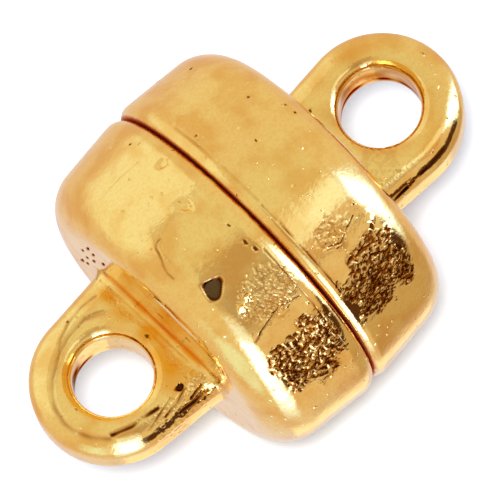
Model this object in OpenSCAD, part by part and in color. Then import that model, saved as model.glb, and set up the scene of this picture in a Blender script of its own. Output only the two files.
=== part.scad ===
// Magnetic clasp: cast halves that meet at a seam, each with an eye for a jump ring and a disc magnet in
// its mating face. Lengths are in millimetres. The clasp lies on its side: +X runs along its axis from the
// left eye to the right eye, +Z is up, and the origin is under the seam, on the surface that it lies on.

/* [Drum] */
// Diameter over the rims beside the seam
drum_d = 8.0; // [7:0.1:10]
// Thickness of one half, from its mating face to its end face
half_t = 2.58; // [2.4:0.02:4]
// How much smaller the wall's radius is at the shoulder than at the seam
draft = 0.13; // [0:0.01:0.2]
// Rounding of the rim beside the seam
rim_r = 0.35; // [0.1:0.01:0.4]
// Rounding of the shoulder between wall and end face
shoulder_r = 1.02; // [0.5:0.02:1.2]
// Gap between the two mating faces when the clasp is shut
seam_gap = 0.11; // [0.06:0.01:0.3]

/* [Eye] */
// Diameter of the bore that a jump ring goes through
bore_d = 1.83; // [1.2:0.01:2.2]
// Radius of the eye's round outer end
eye_r = 1.76; // [1.5:0.01:2]
// Distance from the end face to the bore's centre
eye_reach = 1.53; // [1.3:0.01:2.5]
// Width of the eye where it meets the end face
root_w = 3.82; // [3.6:0.02:4.2]
// Thickness of the eye's plate
eye_t = 1.36; // [1.2:0.02:2]
// Rounding of the plate's outer edges
eye_edge_r = 0.28; // [0.1:0.01:0.5]
// Rounding of the bore's two rims
bore_edge_r = 0.13; // [0.04:0.01:0.2]

/* [Magnet] */
// Diameter of the disc magnet
magnet_d = 5.5; // [4:0.1:6]
// Thickness of the disc magnet
magnet_t = 1.5; // [1:0.05:1.7]
// Rounding of the magnet's edges
magnet_edge_r = 0.1; // [0.02:0.01:0.2]
// Air gap between the two magnets when the clasp is shut
magnet_gap = 0.02; // [0.01:0.005:0.05]
// Room for glue around and under the magnet
glue_gap = 0.04; // [0.02:0.01:0.1]

/* [Hidden] */
$fn = 96;
// Distances of one half's mating face and end face from the seam's middle
mating_x = seam_gap / 2;
end_x = mating_x + half_t;
// The bore's centre from the seam's middle
bore_x = end_x + eye_reach;
// The magnet's outer face, which stands proud of the mating face
magnet_x = magnet_gap / 2;
recess_d = magnet_d + 2 * glue_gap;
recess_end_x = magnet_x + magnet_t + glue_gap;
// The eye's plate is rooted in the middle of the wall behind the magnet
root_depth = (end_x - recess_end_x) / 2;
// How far each flank of the plate reaches past the plate's middle, so that the two join
flank_overlap = eye_r / 4;
// How far a cutting tool runs past the face that it cuts
run_out = 1;
// Centres of the drum section's two roundings, as [radius, distance along the axis]
rim_c = [drum_d / 2 - rim_r, mating_x + rim_r];
shoulder_c = [drum_d / 2 - draft - shoulder_r, end_x - shoulder_r];

// The point of a circle in the direction a
function on_circle(c, r, a) = c + r * [cos(a), sin(a)];
// Direction of the normal of the line that touches two circles on the side away from the axis
function tangent_normal(c1, r1, c2, r2) =
    atan2(c2.y - c1.y, c2.x - c1.x) - acos((r1 - r2) / norm(c2 - c1));
// Direction of the normal of the line from the eye's round end to the corner of its root
function flank_normal() =
    atan2(eye_reach, root_w / 2) + asin(eye_r / norm([eye_reach, root_w / 2]));

// Half of the drum's section: a wall with slight draft between two roundings
module drum_profile() {
    a = tangent_normal(rim_c, rim_r, shoulder_c, shoulder_r);
    polygon([
        [0, mating_x],
        [rim_c.x, mating_x],
        on_circle(rim_c, rim_r, a),
        on_circle(shoulder_c, shoulder_r, a),
        [shoulder_c.x, end_x],
        [0, end_x]
    ]);
    translate(rim_c) circle(rim_r);
    translate(shoulder_c) circle(shoulder_r);
}

// Turns a section of [radius, distance] round the clasp's axis. It starts at the top, so that the clasp lies
// on a flat of its facets and not on a corner.
module around_axis() {
    translate([0, 0, drum_d / 2])
        rotate([0, 90, 0])
        rotate([0, 0, 180])
        rotate_extrude()
        children();
}

// Section of the plate from x = inner to its rounded edge at x = eye_r
module edge_section(inner) {
    straight = eye_r - eye_edge_r;
    translate([inner, -eye_t / 2]) square([straight - inner, eye_t]);
    translate([inner, eye_edge_r - eye_t / 2]) square([eye_r - inner, eye_t - 2 * eye_edge_r]);
    for (s = [-1, 1]) translate([straight, s * (eye_t / 2 - eye_edge_r)]) circle(eye_edge_r);
}

// One flank of the plate, from the round end into the wall behind the magnet
module flank() {
    a = flank_normal();
    rotate([0, 0, a])
        rotate([90, 0, 0])
        mirror([0, 0, 1])
        linear_extrude((eye_reach + root_depth) / sin(a))
        edge_section(-flank_overlap);
}

// The eye's plate, with the bore's centre at the origin and the drum on the -X side
module eye_plate() {
    rotate_extrude() edge_section(0);
    for (m = [0, 1]) mirror([0, m, 0]) flank();
}

// What is cut out of the plate: the bore with its two rounded rims
module bore_cut() {
    mouth_r = bore_d / 2 + bore_edge_r;
    straight = eye_t - 2 * bore_edge_r;
    rotate_extrude() difference() {
        translate([0, -eye_t / 2 - run_out]) square([mouth_r, eye_t + 2 * run_out]);
        translate([mouth_r, 0]) square([2 * bore_edge_r, straight], center = true);
        for (s = [-1, 1]) translate([mouth_r, s * straight / 2]) circle(bore_edge_r);
    }
}

// The cast half on the +X side
module cap() {
    difference() {
        union() {
            around_axis() drum_profile();
            translate([bore_x, 0, drum_d / 2]) eye_plate();
        }
        around_axis() translate([0, -run_out]) square([recess_d / 2, recess_end_x + run_out]);
        translate([bore_x, 0, drum_d / 2]) bore_cut();
    }
}

// The disc magnet on the +X side
module magnet() {
    straight = magnet_d / 2 - magnet_edge_r;
    around_axis() translate([0, magnet_x]) {
        square([straight, magnet_t]);
        translate([0, magnet_edge_r]) square([magnet_d / 2, magnet_t - 2 * magnet_edge_r]);
        for (y = [magnet_edge_r, magnet_t - magnet_edge_r]) translate([straight, y]) circle(magnet_edge_r);
    }
}

module left_cap() {
    color("goldenrod") mirror([1, 0, 0]) cap();
}

module left_magnet() {
    color("silver") mirror([1, 0, 0]) magnet();
}

module right_cap() {
    color("goldenrod") cap();
}

module right_magnet() {
    color("silver") magnet();
}

left_cap();
left_magnet();
right_cap();
right_magnet();
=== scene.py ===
"""Looks of a gold-plated magnetic clasp: two cast halves with an eye each, and the disc magnets between them.

Sizes are in millimetres while a piece is being shaped, and a finished mesh is brought to metres. The frame is
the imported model's own: +X along the clasp's axis from the left eye to the right eye, +Z up, the origin under
the seam on the surface that the clasp lies on.
"""
import logging
import math
from dataclasses import dataclass, replace
from enum import Enum
from functools import partial
from typing import Any, Callable

import bmesh
import bpy
import numpy as np
from mathutils import Matrix, Vector, noise


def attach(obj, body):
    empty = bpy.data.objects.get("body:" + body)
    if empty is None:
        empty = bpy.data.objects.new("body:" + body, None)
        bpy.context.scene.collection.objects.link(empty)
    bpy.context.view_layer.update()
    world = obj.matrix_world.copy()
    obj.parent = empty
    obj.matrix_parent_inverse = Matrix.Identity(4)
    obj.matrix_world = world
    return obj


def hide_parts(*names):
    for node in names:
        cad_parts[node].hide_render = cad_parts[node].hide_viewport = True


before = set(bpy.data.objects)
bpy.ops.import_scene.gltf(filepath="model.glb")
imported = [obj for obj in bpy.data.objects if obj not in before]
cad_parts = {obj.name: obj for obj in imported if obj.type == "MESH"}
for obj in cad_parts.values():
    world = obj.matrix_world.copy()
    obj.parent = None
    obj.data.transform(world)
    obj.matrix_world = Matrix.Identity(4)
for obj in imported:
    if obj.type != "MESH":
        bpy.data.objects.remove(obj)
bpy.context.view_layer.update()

log = logging.getLogger("clasp")
MM = 0.001
AXIS_Z = 4.0
Array = np.ndarray
BMesh, BMEdge, BMVert = bmesh.types.BMesh, bmesh.types.BMEdge, bmesh.types.BMVert
Point = tuple[float, float, float]
Feed = bpy.types.Node | bpy.types.NodeSocket
AddNode = Callable[..., bpy.types.Node]
# Profiles of a blemish or a line, over half widths from its middle: where each falls off, and how steeply
BOWL, STAIN, FLAT_SIDE = (0.86, 9.0), (0.9, 14.0), (0.9, 12.0)
BEAD_FALL, LINE_FALL = 1.6, 2.0
LIP_AT, LIP_WIDTH, LIP_SHARE = 1.12, 0.16, 0.05
# How far past their own size the mesh is finer round a blemish and a gritty patch, and a blemish fades out
BLEMISH_REACH, PATCH_REACH, FADE_REACH = 1.1, 1.15, 1.2
# How uneven a blemish's outline is, and how fine the unevenness is against its width
UNEVEN, UNEVEN_FINENESS = 0.6, 1.6
# Width of a hole that residue fills wholly, and the least share of it in a small one
CAKED_WIDTH, CAKED_LEAST = 0.3, 0.42


def linear(hex_colour: str) -> tuple[float, float, float, float]:
    """Turns an sRGB hex colour into linear light.

    Args:
        hex_colour: six hex digits, such as "f6d77e".

    Returns:
        Red, green, blue and an alpha of one.
    """
    shares = (int(hex_colour[start:start + 2], 16) / 255 for start in (0, 2, 4))
    red, green, blue = (c / 12.92 if c <= 0.04045 else ((c + 0.055) / 1.055) ** 2.4 for c in shares)
    return red, green, blue, 1.0


def direction(azimuth_deg: float, elevation_deg: float) -> Vector:
    """The way from the clasp's middle towards a point round it.

    Args:
        azimuth_deg: the turn about +Z, from +X towards +Y.
        elevation_deg: the rise above the bench.

    Returns:
        A unit vector.
    """
    azimuth, elevation = math.radians(azimuth_deg), math.radians(elevation_deg)
    away = math.cos(elevation)
    return Vector((math.cos(azimuth) * away, math.sin(azimuth) * away, math.sin(elevation)))


def add_node(tree: bpy.types.NodeTree, kind: str, inputs: dict[Any, Any], **settings: Any) -> bpy.types.Node:
    """Adds one node, with its settings, values and links.

    Args:
        tree: the node tree that the node goes into.
        kind: the node's type name after "ShaderNode".
        inputs: for each input, by name or number, a value, the socket that feeds it, or the node whose first
            output in use does.
        **settings: properties of the node itself.

    Returns:
        The new node.
    """
    node = tree.nodes.new("ShaderNode" + kind)
    for name, value in settings.items():
        setattr(node, name, value)
    for key, value in inputs.items():
        if isinstance(value, bpy.types.Node):
            value = next(out for out in value.outputs if out.enabled)
        if isinstance(value, bpy.types.NodeSocket):
            tree.links.new(value, node.inputs[key])
        else:
            node.inputs[key].default_value = value
    return node


def fresh_tree(owner: bpy.types.Material | bpy.types.World) -> AddNode:
    """Empties the node tree of a material or of a world.

    Args:
        owner: the material or the world.

    Returns:
        The function that adds a node to the tree.
    """
    owner.use_nodes = True
    owner.node_tree.nodes.clear()
    return partial(add_node, owner.node_tree)


# Distances to rounded shapes, on arrays of points: negative inside, zero on the surface

def round_meet(a: Array, b: Array, radius: Array | float) -> Array:
    """Distance to what lies in both of two shapes, whose common edge is rounded.

    Args:
        a: distance to the first shape.
        b: distance to the second shape, whose face is square to the first one's.
        radius: rounding of the edge.

    Returns:
        The distance to the common shape.
    """
    out = np.hypot(np.maximum(a + radius, 0), np.maximum(b + radius, 0))
    return out + np.minimum(np.maximum(a, b), -radius)


def round_join(a: Array, b: Array, radius: float) -> Array:
    """Distance to two shapes as one, with a fillet where they meet.

    Args:
        a: distance to the first shape.
        b: distance to the second shape, whose face is square to the first one's.
        radius: radius of the fillet.

    Returns:
        The distance to the joined shape.
    """
    into = np.hypot(np.maximum(radius - a, 0), np.maximum(radius - b, 0))
    return np.maximum(radius, np.minimum(a, b)) - into


def falls_off(r: Array, edge: float, steepness: float) -> Array:
    """A share that falls from one to zero where r passes the edge."""
    return 1 / (1 + np.exp((r - edge) * steepness))


class Side(Enum):
    """Which half of the clasp, as the sign of its side of the seam."""

    LEFT = -1
    RIGHT = 1


class Mark(Enum):
    """What a blemish of the casting is."""

    PIT = "a hole with dark residue in it"
    DENT = "a shallow hollow with bright walls"
    BEAD = "a small raised drop of metal"
    FACET = "a drop with a flat side that catches the light"


@dataclass(frozen=True)
class Blemish:
    """One blemish of the casting, near the point where the photographed one has it.

    A facet's flat side looks the way that faces gives. The length of drawn is how many times longer
    the blemish is that way.
    """

    kind: Mark
    at: Point
    width: float
    depth: float
    faces: Point = (0.0, 0.0, 1.0)
    drawn: Point = (0.0, 0.0, 0.0)

    def offset(self, points: Array, spot: Array) -> Array:
        """Distance of points from the blemish's middle, less along the way that it is drawn out.

        Args:
            points: rows of x, y and z.
            spot: the point of the surface where the blemish lies.

        Returns:
            One distance for each row.
        """
        way = points - spot
        times = math.hypot(*self.drawn)
        if times > 1:
            along = np.array(self.drawn) / times
            way = way - np.outer(way @ along, along) * (1 - 1 / times)
        return np.linalg.norm(way, axis=1)


@dataclass(frozen=True)
class Patch:
    """Gritty skin with a ragged border: how far it reaches, and how high its lumps are."""

    at: Point
    reach: float
    strength: float
    raggedness: float = 0.5
    border: float = 0.25

    def share(self, points: Array, ragged: Array) -> Array:
        """How far points are inside the patch, whose border is ragged.

        Args:
            points: rows of x, y and z.
            ragged: noise about zero, one value for each row.

        Returns:
            One share for each row, from zero outside to one inside.
        """
        off = np.linalg.norm(points - np.array(self.at), axis=1) / self.reach
        return np.clip((1.0 - off + self.raggedness * ragged) / self.border, 0, 1)


@dataclass(frozen=True)
class Crease:
    """A line in the skin: a furrow, a ridge where its depth is negative, or only a streak of colour.

    Its last number is the share of residue in it; where the line is a painted dark reflection, the share of
    that dark; and in the orange streaks, the share of their orange: thick plating, and at the eye's root a
    painted reflection.
    """

    route: tuple[Point, ...]
    width: float
    depth: float
    dirt_and_painted_light: float = 0.0

    def offset(self, points: Array) -> Array:
        """Distance of points from the line.

        Args:
            points: rows of x, y and z.

        Returns:
            One distance for each row.
        """
        nearest = np.full(len(points), np.inf)
        for a, b in zip(np.array(self.route), np.array(self.route[1:])):
            share = np.clip((points - a) @ (b - a) / ((b - a) @ (b - a)), 0, 1)
            nearest = np.minimum(nearest, np.linalg.norm(points - a - share[:, None] * (b - a), axis=1))
        return nearest

    def share(self, points: Array) -> Array:
        """How much of the line is at each point, from one in its middle to zero beside it."""
        return np.exp(-LINE_FALL * (self.offset(points) / (self.width / 2)) ** 2)


@dataclass(frozen=True)
class Relief:
    """Unevenness of the cast skin under the plating: wavelengths and heights."""

    swell_length: float = 1.7
    swell_height: float = 0.011
    ripple_length: float = 0.5
    ripple_height: float = 0.0036
    ripple_shift: Point = (31.0, 7.0, 3.0)
    lump_length: float = 0.10
    lump_floor: float = 0.45
    lump_octaves: int = 3
    lump_mean: float = 0.5
    valley_depth: float = 0.16

    def height(self, point: Vector) -> float:
        """How far the skin stands out at a point.

        Args:
            point: a point of the surface, in millimetres.

        Returns:
            The height above the true form, in millimetres.
        """
        swell = noise.noise(point / self.swell_length)
        ripple = noise.noise(point / self.ripple_length + Vector(self.ripple_shift))
        return swell * self.swell_height + ripple * self.ripple_height

    def lumps(self, point: Vector) -> float:
        """The lumps of gritty skin at a point, from zero to about one."""
        return self.lump_floor + noise.turbulence(point / self.lump_length, self.lump_octaves, False)


@dataclass
class CastHalf:
    """One cast half: a short drum with a recess for its magnet, and a flat eye on its end face."""

    side: Side
    node: str
    body: str
    blemishes: tuple[Blemish, ...]
    creases: tuple[Crease, ...]
    gritty: tuple[Patch, ...]
    thick_coat_and_reflection: tuple[Crease, ...]
    eye_yaw_deg: float
    offset_y: float = 0.0
    relief: Relief = Relief()
    # How gritty the skin is and how that fades; how dark its lines and gritty patches are coloured, with
    # residue and painted dark reflection; and how the seam's painted shade fades
    even_grit: float = 0.12
    full_grit: float = 0.03
    grit_from_x: float = 0.22
    grit_fade: float = 0.10
    ragged_per_mm: float = 2.6
    line_dirt_and_painted_dark: float = 0.7
    painted_dark_on_tops: float = 0.22
    painted_dark_from: float = 0.35
    painted_dark_most: float = 0.31
    mating_fade: float = 0.01
    # The drum, with the clasp's axis as its own
    wall_r: float = 4.0
    draft: float = 0.13
    mating_x: float = 0.022
    end_x: float = 2.635
    rim_r: float = 0.28
    rim_turn_deg: float = 56.0
    shoulder_r: float = 1.02
    recess_r: float = 2.79
    recess_end_x: float = 1.55
    recess_edge_r: float = 0.04
    # The eye
    bore_x: float = 4.165
    bore_shift: tuple[float, float] = (0.0, 0.0)
    bore_r: float = 0.915
    eye_r: float = 1.80
    root_w: float = 3.82
    eye_t: float = 1.36
    eye_top_r: float = 0.62
    eye_edge_r: float = 0.28
    bore_edge_r: float = 0.26
    root_dish: float = 0.03
    root_dish_length: float = 0.9
    fillet_r: float = 0.2
    # How fine the mesh is, and how often its points are moved onto the surface
    voxel: float = 0.07
    slope_step: float = 0.0035
    same_point: float = 0.0007
    on_corner: float = 0.007
    fine_reach: float = 0.1
    far_rounds: int = 12
    even_rounds: int = 3
    turns: int = 96
    bevel_steps: int = 8

    @property
    def rim_x(self) -> float:
        """Where the rim's rounding has its centre: the mating face cuts the arc off before it is upright."""
        return self.mating_x + self.rim_r * math.sin(math.radians(self.rim_turn_deg))

    @property
    def flank_deg(self) -> float:
        """Direction of the normal of the eye's straight flank, from the clasp's axis."""
        reach = self.bore_x - self.end_x
        corner = math.hypot(reach, self.root_w / 2)
        return math.degrees(math.atan2(reach, self.root_w / 2) + math.asin(self.eye_r / corner))

    @property
    def wall_deg(self) -> float:
        """Lean of the drum's wall: its line touches the rim's and the shoulder's rounding."""
        along = (self.end_x - self.shoulder_r) - self.rim_x
        drop = (self.wall_r - self.rim_r) - (self.wall_r - self.draft - self.shoulder_r)
        lean = math.asin((self.rim_r - self.shoulder_r) / math.hypot(along, drop))
        return math.degrees(math.atan2(drop, along) + lean)

    def drum_distance(self, x: Array, rho: Array) -> Array:
        """Distance to the drum without its recess.

        Args:
            x: distance from the seam's middle along the axis.
            rho: distance from the axis.

        Returns:
            The distance, negative inside.
        """
        lean = math.radians(self.wall_deg)
        rim_rho = self.wall_r - self.rim_r
        out_x, out_rho = self.end_x - self.shoulder_r, self.wall_r - self.draft - self.shoulder_r
        wall = (x - self.rim_x) * math.sin(lean) + (rho - rim_rho) * math.cos(lean) - self.rim_r
        d = np.maximum(x - self.end_x, wall)
        for c_x, c_rho, radius, low, high in (
            (self.rim_x, rim_rho, self.rim_r, math.pi / 2 - lean, math.pi),
            (out_x, out_rho, self.shoulder_r, 0.0, math.pi / 2 - lean),
        ):
            angle = np.arctan2(rho - c_rho, x - c_x)
            in_sector = (angle >= low) & (angle <= high)
            d = np.where(in_sector, np.hypot(x - c_x, rho - c_rho) - radius, d)
        return np.maximum(d, self.mating_x - x)

    def eye_distance(self, x: Array, y: Array, z: Array) -> Array:
        """Distance to the eye's plate, which is rooted in the wall behind the magnet.

        Args:
            x: distance from the bore's centre along the axis.
            y: distance to the side.
            z: height above the axis.

        Returns:
            The distance, negative inside.
        """
        flank = math.radians(self.flank_deg)
        outline = np.where(
            np.arctan2(np.abs(y), x) < flank,
            np.hypot(x, y) - self.eye_r,
            x * math.cos(flank) + np.abs(y) * math.sin(flank) - self.eye_r,
        )
        into_root = np.clip(1 - (x + self.bore_x - self.end_x) / self.root_dish_length, 0, 1)
        dish = np.where(z > 0, self.root_dish * into_root ** 2, 0)
        edge_r = np.where(z > 0, self.eye_top_r, self.eye_edge_r)
        plate = round_meet(outline, np.abs(z) - self.eye_t / 2 + dish, edge_r)
        off_x, off_y = self.bore_shift
        plate = round_meet(plate, self.bore_r - np.hypot(x - off_x, y - off_y), self.bore_edge_r)
        root_x = (self.recess_end_x - self.end_x) / 2 + self.end_x - self.bore_x
        return np.maximum(plate, root_x - x)

    def distance(self, points: Array) -> Array:
        """Distance from points to the half's true surface.

        Args:
            points: rows of x, y and z.

        Returns:
            One distance for each row, negative inside.
        """
        x = points[:, 0] * self.side.value
        y = points[:, 1] - self.offset_y
        z = points[:, 2] - AXIS_Z
        yaw = math.radians(self.eye_yaw_deg)
        eye_x = (x - self.end_x) * math.cos(yaw) + y * math.sin(yaw) + self.end_x
        eye_y = y * math.cos(yaw) - (x - self.end_x) * math.sin(yaw)
        eye = self.eye_distance(eye_x - self.bore_x, eye_y, z)
        rho = np.hypot(y, z)
        solid = round_join(self.drum_distance(x, rho), eye, self.fillet_r)
        recess = np.maximum(rho - self.recess_r, x - self.recess_end_x)
        return round_meet(solid, -recess, self.recess_edge_r)

    def slope(self, points: Array) -> Array:
        """Outward normal of the true surface at points near it.

        Args:
            points: rows of x, y and z.

        Returns:
            One unit vector for each row.
        """
        axes = np.eye(3) * self.slope_step
        normal = np.stack([self.distance(points + a) - self.distance(points - a) for a in axes], 1)
        return normal / np.maximum(np.linalg.norm(normal, axis=1, keepdims=True), 1e-12)

    def settle(self, points: Array, rounds: int = 4) -> Array:
        """Moves points onto the true surface.

        Args:
            points: rows of x, y and z near the surface.
            rounds: how often the step is taken.

        Returns:
            The moved points.
        """
        for _ in range(rounds):
            points = points - self.slope(points) * self.distance(points)[:, None]
        return points

    def drum(self, bm: BMesh) -> None:
        """Adds the drum, spun from its section, with its rim and shoulder rounded.

        Args:
            bm: the mesh that it is added to.
        """
        section = (
            (self.recess_end_x, 0.0),
            (self.recess_end_x, self.recess_r),
            (self.mating_x, self.recess_r),
            (self.mating_x, self.wall_r),
            (self.end_x, self.wall_r - self.draft),
            (self.end_x, 0.0),
        )
        verts = [bm.verts.new((x, 0.0, rho)) for x, rho in section]
        edges = [bm.edges.new(pair) for pair in zip(verts, verts[1:])]
        bmesh.ops.spin(
            bm, geom=verts + edges, cent=(0, 0, 0), axis=(1, 0, 0), angle=math.tau, steps=self.turns,
            use_merge=True,
        )
        bmesh.ops.remove_doubles(bm, verts=bm.verts[:], dist=self.same_point)
        bmesh.ops.recalc_face_normals(bm, faces=bm.faces[:])
        # The rim gets half its rounding, because its points are moved onto the true surface later
        for x, rho, radius, corner_deg in (
            (self.mating_x, self.wall_r, self.rim_r / 2, 90 - self.wall_deg),
            (self.end_x, self.wall_r - self.draft, self.shoulder_r, 90 + self.wall_deg),
        ):
            ring = [
                e for e in bm.edges
                if all(math.hypot(v.co.x - x, v.co.yz.length - rho) < self.on_corner for v in e.verts)
            ]
            offset = radius / math.tan(math.radians(corner_deg / 2))
            bmesh.ops.bevel(
                bm, geom=ring, offset=offset, segments=self.bevel_steps, profile=0.5, affect="EDGES",
                material=-1,
            )

    def eye(self, bm: BMesh) -> None:
        """Adds the eye's plate: a disc drawn out to its root and raised to its thickness.

        Args:
            bm: the mesh that it is added to.
        """
        flank = math.radians(self.flank_deg)
        made = bmesh.ops.create_circle(bm, radius=self.eye_r, segments=self.turns, cap_ends=True)
        disc = list({f for v in made["verts"] for f in v.link_faces})
        cut = bmesh.ops.bisect_plane(
            bm, geom=made["verts"] + disc + list({e for f in disc for e in f.edges}),
            plane_co=(self.eye_r * math.cos(flank), 0, 0), plane_no=(-1, 0, 0), clear_outer=True,
        )
        chord = [e for e in cut["geom_cut"] if isinstance(e, BMEdge)]
        root_x = (self.recess_end_x + self.end_x) / 2 - self.bore_x
        reach = (self.eye_r - root_x * math.cos(flank)) / math.sin(flank)
        drawn = bmesh.ops.extrude_edge_only(bm, edges=chord)
        for v in (g for g in drawn["geom"] if isinstance(g, BMVert)):
            v.co = Vector((root_x, math.copysign(reach, v.co.y), 0.0))
        raised = bmesh.ops.extrude_face_region(bm, geom=bm.faces[:])
        top = [g for g in raised["geom"] if isinstance(g, BMVert)]
        bmesh.ops.translate(bm, verts=top, vec=(0, 0, self.eye_t))
        bmesh.ops.translate(bm, verts=bm.verts[:], vec=(self.bore_x, 0, -self.eye_t / 2))
        bmesh.ops.recalc_face_normals(bm, faces=bm.faces[:])

    def bore_tool(self) -> bpy.types.Object:
        """The cutter of the bore.

        Returns:
            An object that stands in the bore's place, to be removed after use.
        """
        bm = bmesh.new()
        bmesh.ops.create_cone(
            bm, cap_ends=True, segments=self.turns, radius1=self.bore_r, radius2=self.bore_r,
            depth=2 * self.eye_t,
        )
        off_x, off_y = self.bore_shift
        bmesh.ops.translate(bm, verts=bm.verts[:], vec=(self.bore_x + off_x, off_y, 0))
        return as_object(bm, "bore_tool")

    def rough_form(self) -> BMesh:
        """The drum and the bored eye as one closed skin of even small faces, about the axis.

        Returns:
            The skin of the right half, in millimetres.
        """
        drum_bm, eye_bm = bmesh.new(), bmesh.new()
        self.drum(drum_bm)
        self.eye(eye_bm)
        plate, tool = as_object(eye_bm, "plate"), self.bore_tool()
        cut = plate.modifiers.new("bore", "BOOLEAN")
        cut.operation, cut.solver, cut.object = "DIFFERENCE", "EXACT", tool
        drum_bm.from_mesh(settled(plate))
        bpy.data.objects.remove(tool)
        form = as_object(drum_bm, self.node + "_form")
        skin = form.modifiers.new("skin", "REMESH")
        skin.mode, skin.voxel_size = "VOXEL", self.voxel
        bm = bmesh.new()
        bm.from_mesh(settled(form))
        return bm

    def build(self) -> bpy.types.Object:
        """Shapes the half, with the unevenness and the blemishes of its casting.

        Returns:
            The finished piece, in metres, at the origin.
        """
        bm = self.rough_form()
        bmesh.ops.scale(bm, vec=(self.side.value, 1, 1), verts=bm.verts[:])
        bmesh.ops.translate(bm, vec=(0, self.offset_y, AXIS_Z), verts=bm.verts[:])
        if self.side is Side.LEFT:
            bmesh.ops.reverse_faces(bm, faces=bm.faces[:])
        spots = self.settle(np.array([b.at for b in self.blemishes]), self.far_rounds)
        creases = [
            replace(c, route=tuple(map(tuple, self.settle(np.array(c.route), self.far_rounds))))
            for c in self.creases
        ]
        self.refine(bm, spots, creases)
        for _ in range(self.even_rounds):
            self.place(bm, self.settle(places(bm)))
            every = {"use_axis_x": True, "use_axis_y": True, "use_axis_z": True}
            bmesh.ops.smooth_vert(bm, verts=bm.verts[:], factor=0.5, **every)
        self.place(bm, self.settle(places(bm)))
        self.cast_skin(bm, spots, creases)
        bmesh.ops.scale(bm, vec=(MM, MM, MM), verts=bm.verts[:])
        piece = as_object(bm, self.node + "_casting")
        for polygon in piece.data.polygons:
            polygon.use_smooth = True
        log.info("%s: %d triangles", piece.name, sum(len(p.vertices) - 2 for p in piece.data.polygons))
        return piece

    def place(self, bm: BMesh, points: Array) -> None:
        """Puts every vertex at its point.

        Args:
            bm: the half's mesh.
            points: one row for each vertex.
        """
        for v, p in zip(bm.verts, points):
            v.co = p

    def refine(self, bm: BMesh, spots: Array, creases: list[Crease]) -> None:
        """Makes the faces small enough for the gritty patches, the blemishes and the creases.

        Args:
            bm: the half's mesh.
            spots: one row for each blemish, the point where it lies.
            creases: the creases, on the surface.
        """
        for is_fine in (False, True):
            middles = np.array([(e.verts[0].co + e.verts[1].co) / 2 for e in bm.edges])
            if is_fine:
                gaps = [
                    b.offset(middles, s) - max(b.width * BLEMISH_REACH, self.fine_reach)
                    for s, b in zip(spots, self.blemishes)
                ] + [c.offset(middles) - max(c.width, self.fine_reach) for c in creases if c.depth]
            else:
                gaps = [np.linalg.norm(middles - p.at, axis=1) - p.reach * PATCH_REACH for p in self.gritty]
            coarse = [edge for edge, gap in zip(bm.edges, np.min(gaps, axis=0)) if gap < 0]
            bmesh.ops.subdivide_edges(bm, edges=coarse, cuts=1 if is_fine else 2, use_grid_fill=True)
            bmesh.ops.triangulate(bm, faces=[f for f in bm.faces if len(f.verts) > 4])

    def cast_skin(self, bm: BMesh, spots: Array, creases: list[Crease]) -> None:
        """Gives the true surface the casting's unevenness, and marks where residue lies, where dark reflection
        and shade are painted, where the orange streaks lie, and where the seam's shade is painted.

        Args:
            bm: the half's mesh, on its true surface.
            spots: one row for each blemish, the point where it lies.
            creases: the creases, on the surface.
        """
        points = places(bm)
        height = np.array([self.relief.height(v.co) for v in bm.verts])
        ragged = np.array([noise.noise(v.co * self.ragged_per_mm) for v in bm.verts])
        dirt_and_painted_light = np.zeros(len(points))
        for spot, mark in zip(spots, self.blemishes):
            off = mark.offset(points, spot)
            near = np.nonzero(off < mark.width * FADE_REACH)[0]
            ways = [Vector(points[i] - spot) * UNEVEN_FINENESS / mark.width + Vector(spot) for i in near]
            r = off[near] / (mark.width / 2) / np.array([1 + UNEVEN * noise.noise(way) for way in ways])
            if mark.kind is Mark.BEAD:
                height[near] += mark.depth * np.exp(-BEAD_FALL * r ** 2)
                continue
            if mark.kind is Mark.FACET:
                out = self.slope(spot[None, :])[0]
                across = np.array(mark.faces) - out * (out @ mark.faces) / (out @ out)
                ramp = (points[near] - spot) @ across / (out @ mark.faces)
                height[near] += (mark.depth - ramp) * falls_off(r, *FLAT_SIDE)
                continue
            lip = np.exp(-((r - LIP_AT) / LIP_WIDTH) ** 2)
            height[near] += mark.depth * (LIP_SHARE * lip - falls_off(r, *BOWL))
            if mark.kind is Mark.PIT:
                caked = min(max(mark.width / CAKED_WIDTH, CAKED_LEAST), 1.0)
                dirt_and_painted_light[near] = np.maximum(dirt_and_painted_light[near], caked * falls_off(r, *STAIN))
        # Creases carry residue; the dark lines behind the rims and along the eyes' flanks are painted dark
        # reflection
        for crease in creases:
            line = crease.share(points)
            height -= crease.depth * line
            dirt_and_painted_light = np.maximum(dirt_and_painted_light, crease.dirt_and_painted_light * line * (self.line_dirt_and_painted_dark + ragged))
        lumps = np.array([self.relief.lumps(v.co) for v in bm.verts])
        rough, coat_and_reflection = np.zeros(len(points)), np.zeros(len(points))
        for patch in self.gritty:
            rough = np.maximum(rough, patch.strength * patch.share(points, ragged))
        # Orange streaks: thick plating, and at the eye's root a painted reflection of the eye
        for streak in self.thick_coat_and_reflection:
            coat_and_reflection = np.maximum(coat_and_reflection, np.clip(streak.dirt_and_painted_light * streak.share(points) * (1.0 + ragged), 0, 1))
        x = points[:, 0] * self.side.value
        rough = rough * np.clip((x - self.grit_from_x) / self.grit_fade, 0, 1)
        height += rough * (lumps - self.relief.lump_mean)
        grit = self.even_grit + rough / self.full_grit
        # The gritty patches are coloured darker as a painted dark reflection, with residue darkest in the
        # valleys between the lumps
        valley = np.clip((self.relief.lump_mean - lumps) / self.relief.valley_depth, 0, 1)
        darkened = np.clip(rough / self.full_grit - self.painted_dark_from, 0, self.painted_dark_most)
        dirt_and_painted_light = np.maximum(dirt_and_painted_light, (self.painted_dark_on_tops + (1 - self.painted_dark_on_tops) * valley) * darkened)
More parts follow.
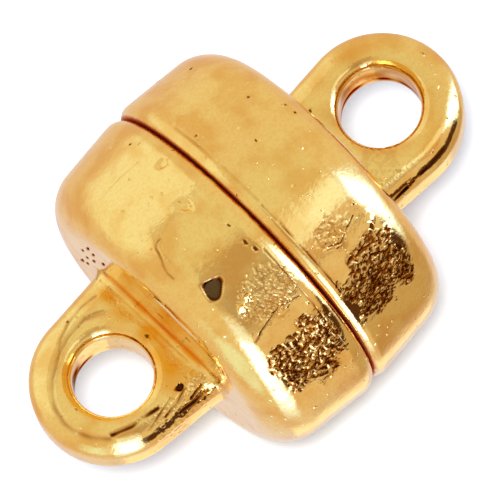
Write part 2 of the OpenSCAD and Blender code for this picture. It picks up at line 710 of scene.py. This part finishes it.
        # The mating face is coloured dark red-brown and dulled: painted shade of the narrow seam
        mating = np.clip((self.mating_x + 2 * self.mating_fade - x) / self.mating_fade, 0, 1)
        self.place(bm, points + self.slope(points) * height[:, None])
        for name, shares in (("residue_and_painted_dark", dirt_and_painted_light), ("grit", grit), ("coat_and_reflection", coat_and_reflection), ("mating", mating)):
            layer = bm.verts.layers.float.new(name)
            for v, share in zip(bm.verts, shares):
                v[layer] = share


def ring_route(x: float, radius: float, from_deg: float, to_deg: float, steps: int = 24) -> tuple[Point, ...]:
    """Points along an arc round the drum.

    Args:
        x: where the arc lies along the clasp's axis.
        radius: its distance from the axis.
        from_deg: where it starts, from the top towards +Y.
        to_deg: where it ends.
        steps: number of stretches.

    Returns:
        The points, in the frame.
    """
    angles = np.radians(np.linspace(from_deg, to_deg, steps + 1))
    return tuple((x, radius * math.sin(a), AXIS_Z + radius * math.cos(a)) for a in angles)


def places(bm: BMesh) -> Array:
    """The points of a mesh's vertices, one row for each."""
    return np.array([v.co for v in bm.verts])


def as_object(bm: BMesh, name: str) -> bpy.types.Object:
    """Makes an object of a bmesh and frees the bmesh.

    Args:
        bm: the shape.
        name: the name of the object and of its mesh.

    Returns:
        The new object, linked to the scene.
    """
    mesh = bpy.data.meshes.new(name)
    bm.to_mesh(mesh)
    bm.free()
    made = bpy.data.objects.new(name, mesh)
    bpy.context.scene.collection.objects.link(made)
    return made


def settled(obj: bpy.types.Object) -> bpy.types.Mesh:
    """Applies an object's modifiers and removes the object.

    Args:
        obj: the object with its modifiers.

    Returns:
        The mesh that the modifiers made.
    """
    graph = bpy.context.evaluated_depsgraph_get()
    mesh = bpy.data.meshes.new_from_object(obj.evaluated_get(graph))
    bpy.data.objects.remove(obj)
    return mesh


@dataclass(frozen=True)
class Tone:
    """A colour of the skin, and over which values of its mask it comes out, and how much of it at most."""

    colour: str
    low: float = 0.0
    high: float = 1.0
    most: float = 1.0


@dataclass(frozen=True)
class Swell:
    """An unevenness of the skin, drawn as noise."""

    size_mm: float
    height_mm: float
    detail: float


@dataclass(frozen=True)
class Flecks:
    """Small round bumps strewn over the skin, or holes where their height is negative.

    The reach is in spacings, and the top is the share of the reach where a bump has its full height.
    """

    spacing_mm: float
    height_mm: float
    reach: float
    rarity: float
    top: float = 0.2


@dataclass(frozen=True)
class GoldPlating:
    """Bright gold, electroplated over a zinc casting that was only tumbled, so its skin shows through.

    The mesh's layers say where the casting is gritty; where it holds residue and where dark reflection and
    shade are painted on; where its orange streaks lie, thick plating, and at the eye's root a painted
    reflection; and where the seam's shade is painted on the mating faces.
    """

    colour: str = "fadc86"
    deep: Tone = Tone("f1c46b", 0.45, 0.62)
    grain: Tone = Tone("e8b65c", 0.42, 0.75, 0.36)
    # Orange of the streaks: thick plating, and at the eye's root a painted reflection of the eye in the end
    # face
    thick_coat_and_reflection: Tone = Tone("eda52c")
    # Browns of residue, also used for the painted dark reflection of lines and gritty patches
    tarnish_and_painted_dark: Tone = Tone("a8621c", 0.0, 0.25)
    residue_edge_and_painted_dark: Tone = Tone("43220c", 0.2, 0.48)
    residue_and_painted_dark: Tone = Tone("5c4624", 0.7, 1.0)
    # Dark red-brown on the mating faces: painted shade of the narrow seam
    mating: Tone = Tone("c84a24")
    glance_colour: str = "b98650"
    roughness: float = 0.10
    dull_roughness: float = 0.6
    dull_metallic: float = 0.8
    dull_from: float = 0.6
    dull_to: float = 0.95
    patch_mm: float = 0.8
    patch_detail: float = 5.0
    grain_mm: float = 0.07
    grain_detail: float = 2.0
    peel: Swell = Swell(0.26, 0.0060, 3.0)
    orange: Swell = Swell(0.11, 0.0034, 2.0)
    grit: Swell = Swell(0.09, 0.014, 3.0)
    specks: Flecks = Flecks(0.26, 0.016, 0.17, 0.35)
    pinholes: Flecks = Flecks(0.62, -0.012, 0.06, 0.84)
    pinhole_dirt: float = 0.20

    def make(self) -> bpy.types.Material:
        """Builds the material.

        Returns:
            The material, on object coordinates.
        """
        material = bpy.data.materials.new("gold_electroplate_over_rough_casting")
        add = fresh_tree(material)
        place = add("TexCoord", {}).outputs["Object"]
        skin, pinhole = self.skin(add, place)
        relief = add("Bump", {"Height": skin, "Distance": MM})
        colour, glance, dull = self.surface(add, place, pinhole)
        haze = add("MapRange", {"Value": dull, "To Min": self.roughness, "To Max": self.dull_roughness})
        metal = add("MapRange", {"Value": dull, "To Min": 1.0, "To Max": self.dull_metallic})
        shader = add(
            "BsdfPrincipled",
            {
                "Base Color": colour, "Specular Tint": glance, "Metallic": metal, "Roughness": haze,
                "Normal": relief,
            },
        )
        add("OutputMaterial", {"Surface": shader})
        return material

    def skin(self, add: AddNode, place: Feed) -> tuple[Feed, Feed]:
        """Height of the cast skin: soft swells, a fine orange peel, grit where it chilled, and pinholes.

        Args:
            add: adds a node to the material.
            place: object coordinates.

        Returns:
            The height in millimetres, and a mask of the pinholes.
        """
        gritty = add("Attribute", {}, attribute_name="grit").outputs["Fac"]
        height = 0.0
        for swell, share in ((self.peel, 1.0), (self.orange, 1.0), (self.grit, gritty)):
            scale = 1 / (swell.size_mm * MM)
            layer = add("TexNoise", {"Vector": place, "Scale": scale, "Detail": swell.detail})
            layer = add("Math", {0: layer, 1: share}, operation="MULTIPLY")
            height = add("Math", {0: layer, 1: swell.height_mm, 2: height}, operation="MULTIPLY_ADD")
        wander = self.orange.size_mm * MM
        bent = add("TexNoise", {"Vector": place, "Scale": 1 / wander, "Detail": 1.0})
        sway = {0: bent.outputs["Color"], 1: (wander,) * 3, 2: place}
        astray = add("VectorMath", sway, operation="MULTIPLY_ADD")
        for flecks in (self.specks, self.pinholes):
            cells = add("TexVoronoi", {"Vector": astray, "Scale": 1 / (flecks.spacing_mm * MM)})
            domed = {"Value": cells, "From Min": flecks.reach, "From Max": flecks.reach * flecks.top}
            dome = add("MapRange", domed, interpolation_type="SMOOTHSTEP")
            luck = add("SeparateColor", {"Color": cells.outputs["Color"]}).outputs["Green"]
            here = add("Math", {0: luck, 1: flecks.rarity}, operation="GREATER_THAN")
            mask = add("Math", {0: dome, 1: here}, operation="MULTIPLY")
            height = add("Math", {0: mask, 1: flecks.height_mm, 2: height}, operation="MULTIPLY_ADD")
        return height, mask

    def surface(self, add: AddNode, place: Feed, pinhole: Feed) -> tuple[Feed, Feed, Feed]:
        """Colour of the plating: deeper where it is thicker, and orange where the eye's reflection is painted
        at its root; residue in holes; painted dark reflection in lines and gritty patches; and the seam's
        painted shade, dark red-brown, on the mating face.

        Args:
            add: adds a node to the material.
            place: object coordinates.
            pinhole: mask of the pinholes.

        Returns:
            The colour, the tint of a glancing reflection, and how dull the surface is.
        """
        patches, grain = (
            add("TexNoise", {"Vector": place, "Scale": 1 / (size_mm * MM), "Detail": detail})
            for size_mm, detail in ((self.patch_mm, self.patch_detail), (self.grain_mm, self.grain_detail))
        )
        residue_and_painted_dark, coat_and_reflection, mating = (
            add("Attribute", {}, attribute_name=name).outputs["Fac"]
            for name in ("residue_and_painted_dark", "coat_and_reflection", "mating")
        )
        darkened = {0: pinhole, 1: self.pinhole_dirt, 2: residue_and_painted_dark}
        dirt_and_painted_light = add("Math", darkened, operation="MULTIPLY_ADD", use_clamp=True)
        colour = linear(self.colour)
        for mask, tone in (
            (patches, self.deep), (grain, self.grain), (coat_and_reflection, self.thick_coat_and_reflection), (dirt_and_painted_light, self.tarnish_and_painted_dark),
            (dirt_and_painted_light, self.residue_edge_and_painted_dark), (dirt_and_painted_light, self.residue_and_painted_dark), (mating, self.mating),
        ):
            over = {"Value": mask, "From Min": tone.low, "From Max": tone.high, "To Max": tone.most}
            share = add("MapRange", over)
            colour = add("Mix", {"Factor": share, "A": colour, "B": linear(tone.colour)}, data_type="RGBA")
            if tone is self.tarnish_and_painted_dark:
                tint = {"Factor": share, "A": linear("ffffff"), "B": linear(self.glance_colour)}
                glance = add("Mix", tint, data_type="RGBA")
        caked = add("MapRange", {"Value": dirt_and_painted_light, "From Min": self.dull_from, "From Max": self.dull_to})
        dull = add("Math", {0: caked, 1: mating}, operation="MAXIMUM")
        return colour, glance, dull


@dataclass(frozen=True)
class NickelPlating:
    """Bright nickel over a pressed and ground magnet: smooth, with fine lines of the grinding."""

    colour: str = "cfcbc2"
    smoothest: float = 0.112
    roughest: float = 0.224
    # The real lines are finer than the render can show, so they are drawn this coarse
    line_mm: float = 0.05
    line_stretch: float = 0.05
    line_height_mm: float = 0.0006

    def make(self) -> bpy.types.Material:
        """Builds the material.

        Returns:
            The material, on object coordinates.
        """
        material = bpy.data.materials.new("bright_nickel_plate_over_ground_magnet")
        add = fresh_tree(material)
        place = add("TexCoord", {}).outputs["Object"]
        drawn = add("Mapping", {"Vector": place, "Scale": (1.0, self.line_stretch, 1.0)})
        lines = add("TexNoise", {"Vector": drawn, "Scale": 1 / (self.line_mm * MM), "Detail": 2.0})
        relief = add("Bump", {"Height": lines, "Distance": self.line_height_mm * MM})
        haze = add("MapRange", {"Value": lines, "To Min": self.smoothest, "To Max": self.roughest})
        shader = add(
            "BsdfPrincipled",
            {"Base Color": linear(self.colour), "Metallic": 1.0, "Roughness": haze, "Normal": relief},
        )
        add("OutputMaterial", {"Surface": shader})
        return material


@dataclass(frozen=True)
class Card:
    """A soft card of the light tent that the metal mirrors: its place, its lean and how bright it is."""

    azimuth_deg: float
    elevation_deg: float
    half_width_deg: float
    half_height_deg: float
    soft_deg: float
    colour: str
    strength: float = 1.0
    lean: float = 0.0


@dataclass(frozen=True)
class Camera:
    """The photograph's point of view: a long lens high over the clasp's left side."""

    azimuth_deg: float = -118.0
    elevation_deg: float = 71.5308
    roll_deg: float = -17.6053
    distance_mm: float = 282.2
    frame_width_mm: float = 10.832
    aside_mm: float = 0.05737
    above_mm: float = -0.02993
    sensor_mm: float = 36.0
    near_m: float = 0.01
    far_m: float = 10.0

    def make(self) -> None:
        """Builds the camera and makes it the scene's own."""
        back = direction(self.azimuth_deg, self.elevation_deg)
        level = direction(self.azimuth_deg + 90, 0.0)
        turn = Matrix.Rotation(math.radians(self.roll_deg), 3, back)
        right, up = turn @ level, turn @ back.cross(level)
        data = bpy.data.cameras.new("camera")
        data.sensor_width = self.sensor_mm
        data.lens = self.sensor_mm * self.distance_mm / self.frame_width_mm
        data.clip_start, data.clip_end = self.near_m, self.far_m
        camera = bpy.data.objects.new("camera", data)
        middle = Vector((0, 0, AXIS_Z))
        eye = middle + back * self.distance_mm + right * self.aside_mm + up * self.above_mm
        pose = Matrix((right, up, back)).transposed().to_4x4()
        pose.translation = eye * MM
        camera.matrix_world = pose
        bpy.context.scene.collection.objects.link(camera)
        bpy.context.scene.camera = camera


@dataclass(frozen=True)
class Studio:
    """A light tent of cards, warm where they face the bench, with a gap where the dark room shows."""

    # The cloth's colour at each height
    walls: tuple[tuple[float, str], ...] = (
        (-90, "f3edf9"), (-72, "f0e2e4"), (-40, "ecd2c0"), (0, "efdecb"), (50, "efdecb"), (75, "ede5d3"),
    )
    # Azimuth, elevation, half width, half height, softness, colour, strength and lean, a later card in front
    cards: tuple[Card, ...] = (
        Card(115, 22, 36, 36, 10, "ffffff"),
        Card(120, 57, 45, 2, 2, "dfd4c4"),
        Card(-108, 66, 30, 18, 8, "d1bdaa"),
        Card(-97, 48, 14, 12, 5, "c5b1a2"),
        Card(-60, 53, 24, 9.5, 4, "e1ebff", 1.45),
        Card(-58, 41, 24, 5, 4, "e7cebf"),
        Card(-78, 24, 42, 9, 4, "ebd7c7"),
        Card(-82, 33.5, 22, 1.2, 1, "b39b90"),
        Card(-50, -42, 32, 20, 8, "ccb192"),
        Card(-85, -77, 50, 9, 5, "fff2e0", 1.25),
        Card(-72, -6.5, 36, 14.5, 4, "573626"),
        Card(-155, -15, 14, 20, 8, "dcebff", 1.3),
        Card(-121, -5, 14, 46, 6, "c3d2ff", 1.9),
        Card(-121, -6, 12, 28, 6, "b3c4ff", 6.5),
        Card(-27, 12, 16, 36, 6, "c3d2ff", 1.9, -0.3),
        Card(-28, 12, 11, 26, 6, "b3c4ff", 6.5, -0.3),
    )
    ambient_colour: str = "e6eeff"
    ambient_strength: float = 0.84
    floor_colour: str = "f4f4f4"
    floor_roughness: float = 0.9
    floor_specular: float = 0.2
    floor_mm: float = 400.0
    key_azimuth_deg: float = -127.0
    key_elevation_deg: float = 75.5
    key_distance_mm: float = 300.0
    key_size_mm: float = 64.0
    key_power: float = 0.95

    def card_mask(self, add: AddNode, card: Card, azimuth: Feed, elevation: Feed) -> Feed:
        """Where a card hangs, as a soft-edged mask over the directions.

        Args:
            add: adds a node to the world.
            card: the card.
            azimuth: direction round the clasp, in radians.
            elevation: direction above the bench, in radians.

        Returns:
            The mask, one inside the card and zero outside.
        """
        above = add("Math", {0: elevation, 1: math.radians(card.elevation_deg)}, operation="SUBTRACT")
        swing = add("Math", {0: above, 1: -card.lean, 2: azimuth}, operation="MULTIPLY_ADD")
        aside = add("Math", {0: swing, 1: math.radians(card.azimuth_deg)}, operation="SUBTRACT")
        turned = add("Math", {0: aside, 1: math.pi, 2: -math.pi}, operation="WRAP")
        masks = []
        for angle, half in ((turned, card.half_width_deg), (above, card.half_height_deg)):
            off = add("Math", {0: angle}, operation="ABSOLUTE")
            outer, inner = math.radians(half + card.soft_deg), math.radians(half - card.soft_deg)
            faded = {"Value": off, "From Min": outer, "From Max": inner}
            masks.append(add("MapRange", faded, interpolation_type="SMOOTHSTEP"))
        return add("Math", {0: masks[0], 1: masks[1]}, operation="MULTIPLY")

    def tent(self) -> None:
        """Builds the tent as the world's light: the metal mirrors it, and all else sees plain pale cloth."""
        world = bpy.data.worlds.new("light_tent")
        bpy.context.scene.world = world
        add = fresh_tree(world)
        direction = add("TexCoord", {}).outputs["Generated"]
        parts = add("SeparateXYZ", {"Vector": direction}).outputs
        elevation = add("Math", {0: parts["Z"]}, operation="ARCSINE")
        azimuth = add("Math", {0: parts["Y"], 1: parts["X"]}, operation="ARCTAN2")
        share = add("MapRange", {"Value": elevation, "From Min": -math.pi / 2, "From Max": math.pi / 2})
        light = add("ValToRGB", {"Fac": share})
        ramp = light.color_ramp
        while len(ramp.elements) < len(self.walls):
            ramp.elements.new(0.5)
        for stop, (height_deg, colour) in zip(ramp.elements, self.walls):
            stop.position, stop.color = (height_deg + 90) / 180, linear(colour)
        for card in self.cards:
            mask = self.card_mask(add, card, azimuth, elevation)
            bright = tuple(c * card.strength for c in linear(card.colour)[:3]) + (1.0,)
            light = add("Mix", {"Factor": mask, "A": light, "B": bright}, data_type="RGBA")
        mirrored = add("Background", {"Color": light})
        cloth = {"Color": linear(self.ambient_colour), "Strength": self.ambient_strength}
        plain = add("Background", cloth)
        glossy = add("LightPath", {}).outputs["Is Glossy Ray"]
        both = add("MixShader", {0: glossy, 1: plain, 2: mirrored})
        add("OutputWorld", {"Surface": both})

    def floor(self) -> None:
        """Lays the floor, which is staging: matt white card, so it shows no gloss and only a soft shadow."""
        bm = bmesh.new()
        bmesh.ops.create_grid(bm, x_segments=1, y_segments=1, size=self.floor_mm * MM)
        made = as_object(bm, "floor")
        material = bpy.data.materials.new("matt_white_card")
        add = fresh_tree(material)
        shader = add(
            "BsdfPrincipled",
            {
                "Base Color": linear(self.floor_colour), "Roughness": self.floor_roughness,
                "Specular IOR Level": self.floor_specular,
            },
        )
        add("OutputMaterial", {"Surface": shader})
        made.data.materials.append(material)
        made.visible_glossy = False

    def key_light(self) -> None:
        """Hangs the soft key light, which only casts the shadow."""
        way = direction(self.key_azimuth_deg, self.key_elevation_deg)
        data = bpy.data.lights.new("key", "AREA")
        data.shape, data.size = "DISK", self.key_size_mm * MM
        data.energy = self.key_power
        lamp = bpy.data.objects.new("key", data)
        lamp.location = way * self.key_distance_mm * MM
        lamp.rotation_mode = "QUATERNION"
        lamp.rotation_quaternion = way.to_track_quat("Z", "Y")
        lamp.visible_glossy = False
        bpy.context.scene.collection.objects.link(lamp)

    def make(self) -> None:
        """Builds the tent, the floor and the key light."""
        self.tent()
        self.floor()
        self.key_light()
        view = bpy.context.scene.view_settings
        view.view_transform = "Standard"
        view.look = "None"


def marks(kind: Mark, *rows: tuple[float, ...], **common: Point) -> tuple[Blemish, ...]:
    """Blemishes of one kind.

    Args:
        kind: what they are.
        *rows: x, y and z, width and depth of each.
        **common: what else they have in common, such as the way that they are drawn out.

    Returns:
        The blemishes, in the order of their rows.
    """
    return tuple(Blemish(kind, row[:3], *row[3:], **common) for row in rows)


# Which way a drop or a chipped edge turns its flat side, towards the bright cards
TO_THE_LIGHT = (-0.42, -0.73, 0.54)

LEFT_BLEMISHES = (
    # The big pit, and the bright drops beside it
    *marks(Mark.PIT, (-1.71, -1.18, 7.68, 0.47, 0.09)),
    *marks(
        Mark.FACET, (-1.33, -1.81, 7.45, 0.2, 0.05), (-1.55, -1.89, 7.39, 0.2, 0.05),
        (-0.66, -3.06, 6.55, 0.27, 0.06), faces=TO_THE_LIGHT,
    ),
    # Small ones over the wall
    *marks(Mark.PIT, (-0.53, -1.02, 7.85, 0.09, 0.02), drawn=(0.6, -1.8, 0.0)),
    *marks(Mark.PIT, (-0.47, -1.26, 7.79, 0.1, 0.03), drawn=(0.0, -1.5, 0.0)),
    *marks(Mark.PIT, (-0.53, -0.51, 7.95, 0.06, 0.01), (-0.55, 2.63, 6.99, 0.06, 0.01)),
    *marks(
        Mark.DENT, (-0.46, 1.63, 7.65, 0.28, 0.055), (-0.87, 0.51, 7.92, 0.3, 0.07),
        (-0.84, 0.34, 7.94, 0.14, 0.012),
    ),
    *marks(
        Mark.BEAD, (-0.83, 3.04, 6.53, 0.12, 0.015), (-0.72, -3.02, 6.57, 0.17, 0.03),
        (-0.91, -3.3, 6.17, 0.12, 0.025),
    ),
    # Gas holes in the end face beside the eye
    *marks(
        Mark.PIT, (-2.63, 2.3, 4.9, 0.055, 0.03), (-2.63, 2.2, 4.6, 0.055, 0.03),
        (-2.63, 2.04, 5.58, 0.065, 0.03), (-2.63, 1.89, 5.47, 0.055, 0.03), (-2.63, 2.48, 3.8, 0.07, 0.03),
        (-2.63, 2.29, 3.99, 0.065, 0.03), (-2.63, 1.95, 4.9, 0.07, 0.03), (-2.63, 1.57, 5.5, 0.065, 0.03),
        drawn=(0.0, -1.5, 5.0),
    ),
    # On the eye
    *marks(
        Mark.PIT, (-2.63, -0.22, 5.68, 0.11, 0.03), (-2.64, -1.08, 5.92, 0.1, 0.03),
        (-3.01, -0.03, 4.68, 0.1, 0.03), (-3.33, -1.36, 4.68, 0.19, 0.06), (-3.95, 1.51, 4.66, 0.06, 0.02),
    ),
    *marks(Mark.FACET, (-2.82, -1.78, 4.5, 0.34, 0.03), faces=(-0.35, -0.6, 0.72)),
)
LEFT_CREASES = (
    # The hooked scratch on the wall
    Crease(
        ((-1.75, 0.39, 7.84), (-1.89, 0.36, 7.81), (-1.95, 0.29, 7.8), (-1.98, 0.19, 7.8),
         (-2.04, 0.04, 7.78), (-2.11, -0.08, 7.74), (-2.16, -0.24, 7.71), (-2.15, -0.42, 7.69)),
        0.07, 0.006, 0.24,
    ),
    # A fine flow line above the gritty skin, and a shallow furrow behind the rim, coloured dark as a painted
    # dark reflection line beside the rim's highlight
    Crease(
        ((-1.81, -2.49, 6.94), (-1.54, -2.42, 7.03), (-0.96, -2.36, 7.15), (-0.46, -2.5, 7.12)),
        0.05, 0.01, 0.32,
    ),
    Crease(ring_route(-0.36, 3.99, -20, -66), 0.06, 0.01, 0.3),
    # The folds where the eye's flat top turns over its edge
    Crease(
        ((-3.25, 1.03, 4.68), (-3.67, 1.24, 4.68), (-4.21, 1.19, 4.68), (-4.63, 1.05, 4.68),
         (-5.1, 0.76, 4.68), (-5.35, 0.5, 4.68), (-5.52, 0.27, 4.66), (-5.62, -0.1, 4.62),
         (-5.6, -0.43, 4.62), (-5.45, -0.75, 4.62), (-5.2, -1.08, 4.62)),
        0.16, 0.026, 0.15,
    ),
    Crease(
        ((-4.71, 0.99, 4.68), (-4.36, 1.28, 4.68), (-3.93, 1.47, 4.68), (-3.51, 1.53, 4.68),
         (-3.13, 1.45, 4.68)),
        0.1, 0.018, 0.2,
    ),
    # Dark lines along its flank: shallow folds coloured dark as a painted dark reflection in the flank's
    # rounding
    Crease(
        ((-5.03, -1.0, 4.45), (-4.63, -1.19, 4.45), (-4.37, -1.23, 4.45), (-3.97, -1.29, 4.45)),
        0.11, 0.02, 0.55,
    ),
    Crease(((-3.98, -1.55, 4.5), (-3.6, -1.52, 4.55), (-3.27, -1.44, 4.6)), 0.08, 0.014, 0.35),
    Crease(((-4.45, -1.5, 4.5), (-4.0, -1.42, 4.55), (-3.65, -1.38, 4.6)), 0.07, 0.012, 0.25),
    Crease(((-3.3, -1.7, 4.5), (-2.95, -1.62, 4.55)), 0.09, 0.016, 0.45),
    Crease(((-3.65, -1.76, 4.45), (-3.33, -1.84, 4.45), (-2.94, -1.85, 4.45)), 0.15, 0.03, 0.6),
    # A darker band round the foot of the bore's wall
    Crease(((-4.04, 0.9, 3.68), (-4.32, 0.9, 3.68), (-4.69, 0.75, 3.72)), 0.2, 0.0, 0.5),
    Crease(((-4.69, 0.75, 3.85), (-4.89, 0.56, 3.95), (-5.05, 0.24, 3.95)), 0.7, 0.0, 0.6),
    # A fine line across the wall
    Crease(((-1.9, 2.13, 7.18), (-1.34, 2.16, 7.24), (-0.78, 2.11, 7.35)), 0.05, 0.005, 0.1),
    # The raised line of flash that the die left in front of the end face
    Crease(
        ((-2.82, 1.7, 4.68), (-2.8, 0.8, 4.68), (-2.8, -0.1, 4.68), (-2.8, -1.0, 4.68),
         (-2.82, -1.8, 4.66)),
        0.16, -0.006,
    ),
)
# Gritty skin, and orange streaks at the eye's root: painted reflection of the eye in the end face and on the
# root of its top
LEFT_GRIT = (
    Patch((-1.05, -3.36, 6.1), 1.02, 0.022),
    Patch((-0.95, -2.05, 7.36), 0.78, 0.014),
    Patch((-3.1, -1.62, 4.45), 0.5, 0.01),
    Patch((-3.85, -1.72, 4.25), 0.62, 0.01),
)
LEFT_PAINTED_REFLECTION = (
    Crease(((-2.66, 1.6, 4.7), (-2.66, -1.3, 4.7)), 0.22, 0.0, 0.8),
    Crease(((-2.96, 1.3, 4.68), (-3.0, 0.7, 4.68)), 0.5, 0.0, 0.8),
    Crease(((-2.92, -0.1, 4.68), (-3.08, -0.6, 4.68), (-3.28, -1.0, 4.68)), 0.9, 0.0, 1.0),
)

RIGHT_BLEMISHES = (
    *marks(
        Mark.PIT, (1.65, 3.07, 6.36, 0.08, 0.02), (1.1, 3.65, 5.44, 0.1, 0.03),
        (0.45, 1.51, 7.7, 0.07, 0.015), (1.85, 1.34, 7.6, 0.06, 0.02),
        (2.28, 0.65, 7.56, 0.06, 0.015), (2.3, 0.37, 7.59, 0.07, 0.015),
        (1.22, 0.44, 7.89, 0.06, 0.01),
    ),
    *marks(Mark.BEAD, (0.41, 2.12, 7.39, 0.15, 0.015)),
    *marks(Mark.DENT, (1.12, 0.96, 7.8, 0.16, 0.014), (1.06, -0.88, 7.83, 0.12, 0.012)),
    # The bright drop and its hollow at the head of the gritty patch, and the drops round it
    *marks(Mark.FACET, (1.84, -2.35, 7.04, 0.22, 0.05), faces=(0.46, -0.48, 0.75)),
    *marks(Mark.PIT, (1.74, -2.49, 6.96, 0.13, 0.04)),
    *marks(
        Mark.BEAD, (1.61, -3.13, 6.27, 0.1, 0.03), (1.66, -3.19, 6.19, 0.1, 0.03),
        (0.48, -3.32, 6.21, 0.11, 0.025), (0.34, -3.48, 5.96, 0.11, 0.025),
    ),
    # On the eye
    *marks(Mark.DENT, (4.91, 1.35, 4.66, 0.06, 0.01), (2.98, -1.23, 4.68, 0.07, 0.01)),
    *marks(Mark.PIT, (5.6, 0.21, 4.5, 0.06, 0.01), (3.03, 1.04, 4.68, 0.09, 0.015)),
    *marks(Mark.FACET, (3.38, -1.66, 4.42, 0.12, 0.02), (3.6, -1.6, 4.42, 0.09, 0.02), faces=TO_THE_LIGHT),
)
RIGHT_CREASES = (
    # A scratch, the crack beside the mottled skin, and a shallow furrow behind the rim, coloured dark as a
    # painted dark reflection line beside the rim's highlight
    Crease(((1.54, 0.07, 7.88), (1.69, -0.28, 7.86), (1.75, -0.6, 7.82)), 0.07, 0.008),
    Crease(
        ((0.72, -2.24, 7.31), (0.98, -2.34, 7.2), (1.22, -2.25, 7.23), (1.58, -2.09, 7.26)), 0.05, 0.012, 0.4,
    ),
    Crease(ring_route(0.29, 3.99, -10, -48), 0.06, 0.01, 0.34),
    Crease(ring_route(0.3, 3.99, 30, -8), 0.06, 0.008, 0.16),
    # The dark line along the eye's flank, wider near the root: a shallow fold coloured dark as a painted dark
    # reflection in the flank's rounding
    Crease(
        ((2.98, -1.86, 4.46), (3.37, -1.78, 4.46), (3.61, -1.74, 4.46), (4.06, -1.72, 4.46),
         (4.48, -1.67, 4.46)),
        0.06, 0.008, 0.6,
    ),
    Crease(((2.9, -1.86, 4.43), (3.4, -1.76, 4.43)), 0.16, 0.015, 0.6),
    # Deeper colour over the bore's wall, and a darker band round its foot
    Crease(
        ((3.2, 0.3, 4.05), (3.57, 0.84, 4.05), (3.84, 0.89, 4.05), (4.27, 0.87, 4.05), (4.76, 0.58, 4.05),
         (5.09, 0.14, 4.05), (5.03, -0.6, 4.05)),
        1.5, 0.0, 0.13,
    ),
    Crease(
        ((3.3, 0.4, 3.72), (3.57, 0.84, 3.7), (3.84, 0.89, 3.72), (4.27, 0.87, 3.7), (4.76, 0.58, 3.72),
         (5.09, 0.14, 3.7), (5.03, -0.6, 3.72)),
        0.24, 0.0, 0.5,
    ),
)
RIGHT_GRIT = (
    Patch((1.15, -3.12, 6.35), 1.0, 0.022),
    Patch((1.05, -2.12, 7.3), 0.52, 0.014),
    Patch((3.3, -0.85, 4.68), 0.55, 0.012),
)
# Orange streaks: deeper orange over the bore's wall, and thick plating on the eye's top and edge
RIGHT_ORANGE_STREAKS = (
    Crease(
        ((3.5, 0.85, 3.8), (3.9, 0.92, 3.8), (4.4, 0.9, 3.8), (4.85, 0.62, 3.8), (5.08, 0.1, 3.8)),
        1.3, 0.0, 1.0,
    ),
    Crease(((3.5, 1.35, 4.66), (4.3, 1.42, 4.66), (4.9, 1.05, 4.66)), 0.8, 0.0, 0.25),
    Crease(((5.05, -0.5, 4.62), (4.75, -1.2, 4.6), (4.2, -1.4, 4.6)), 0.6, 0.0, 0.3),
)


def main() -> None:
    """Builds the camera, the studio, the castings and the magnets, in that order."""
    logging.basicConfig(level=logging.INFO, format="%(message)s")
    Camera().make()
    Studio().make()
    gold, nickel = GoldPlating().make(), NickelPlating().make()
    halves = (
        CastHalf(
            Side.LEFT, "left_cap", "left_half", LEFT_BLEMISHES, LEFT_CREASES, LEFT_GRIT, LEFT_PAINTED_REFLECTION,
            eye_yaw_deg=0.42, eye_r=1.78, bore_edge_r=0.28, root_dish=0.02, fillet_r=0.14, bore_r=0.90,
            bore_shift=(-0.032, -0.078), rim_r=0.42, rim_turn_deg=50.0,
        ),
        CastHalf(
            Side.RIGHT, "right_cap", "right_half", RIGHT_BLEMISHES, RIGHT_CREASES, RIGHT_GRIT, RIGHT_ORANGE_STREAKS,
            eye_yaw_deg=0.69, root_w=3.40, eye_top_r=0.56, offset_y=0.035,
        ),
    )
    for half in halves:
        piece = half.build()
        piece.data.materials.append(gold)
        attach(piece, half.body)
        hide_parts(half.node)
    for name in ("left_magnet", "right_magnet"):
        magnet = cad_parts[name]
        magnet.data.materials.clear()
        magnet.data.materials.append(nickel)
        log.info("%s: nickel-plated", name)


if __name__ == "__main__":
    main()
